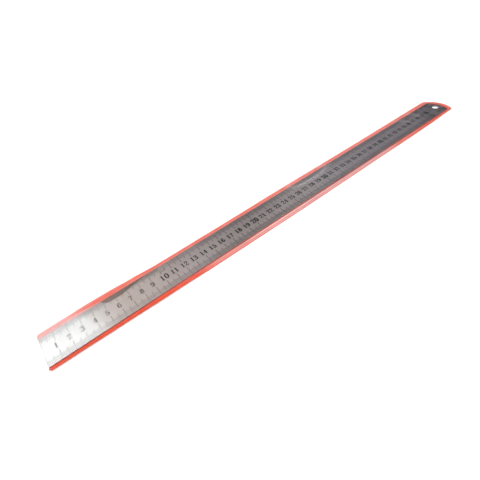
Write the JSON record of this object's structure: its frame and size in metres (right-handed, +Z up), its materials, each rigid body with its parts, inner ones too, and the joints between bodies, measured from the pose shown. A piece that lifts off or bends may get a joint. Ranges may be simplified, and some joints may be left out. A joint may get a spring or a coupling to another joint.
{
  "type": "metal ruler",
  "caption": "Flat steel ruler with a square zero end and a round end with a hanging hole, in a welded plastic sleeve with a clear front and a coloured back.",
  "frame": {"origin": "middle of the sleeve's footprint, on the surface it lies on", "axes": "+X along the scale from the zero end to the round end, +Y across the blade away from the reader, +Z up out of the graduated face"},
  "size_m": [0.5412, 0.0388, 0.0018],
  "materials": {
    "blade_steel": "satin, finely brushed, with filled graduations",
    "back_sheet": "orange-red soft vinyl sheet, lightly translucent",
    "front_sheet": "clear glossy soft vinyl sheet"
  },
  "bodies": {
    "ruler": {"ruler_blade": "blade_steel"},
    "sleeve": {"sleeve_back": "back_sheet", "sleeve_front": "front_sheet"}
  },
  "joints": [
    {"name": "sleeve_slide", "type": "slide", "parent": "ruler", "child": "sleeve", "axis": [1, 0, 0], "range_m": [0, 0.56]}
  ]
}
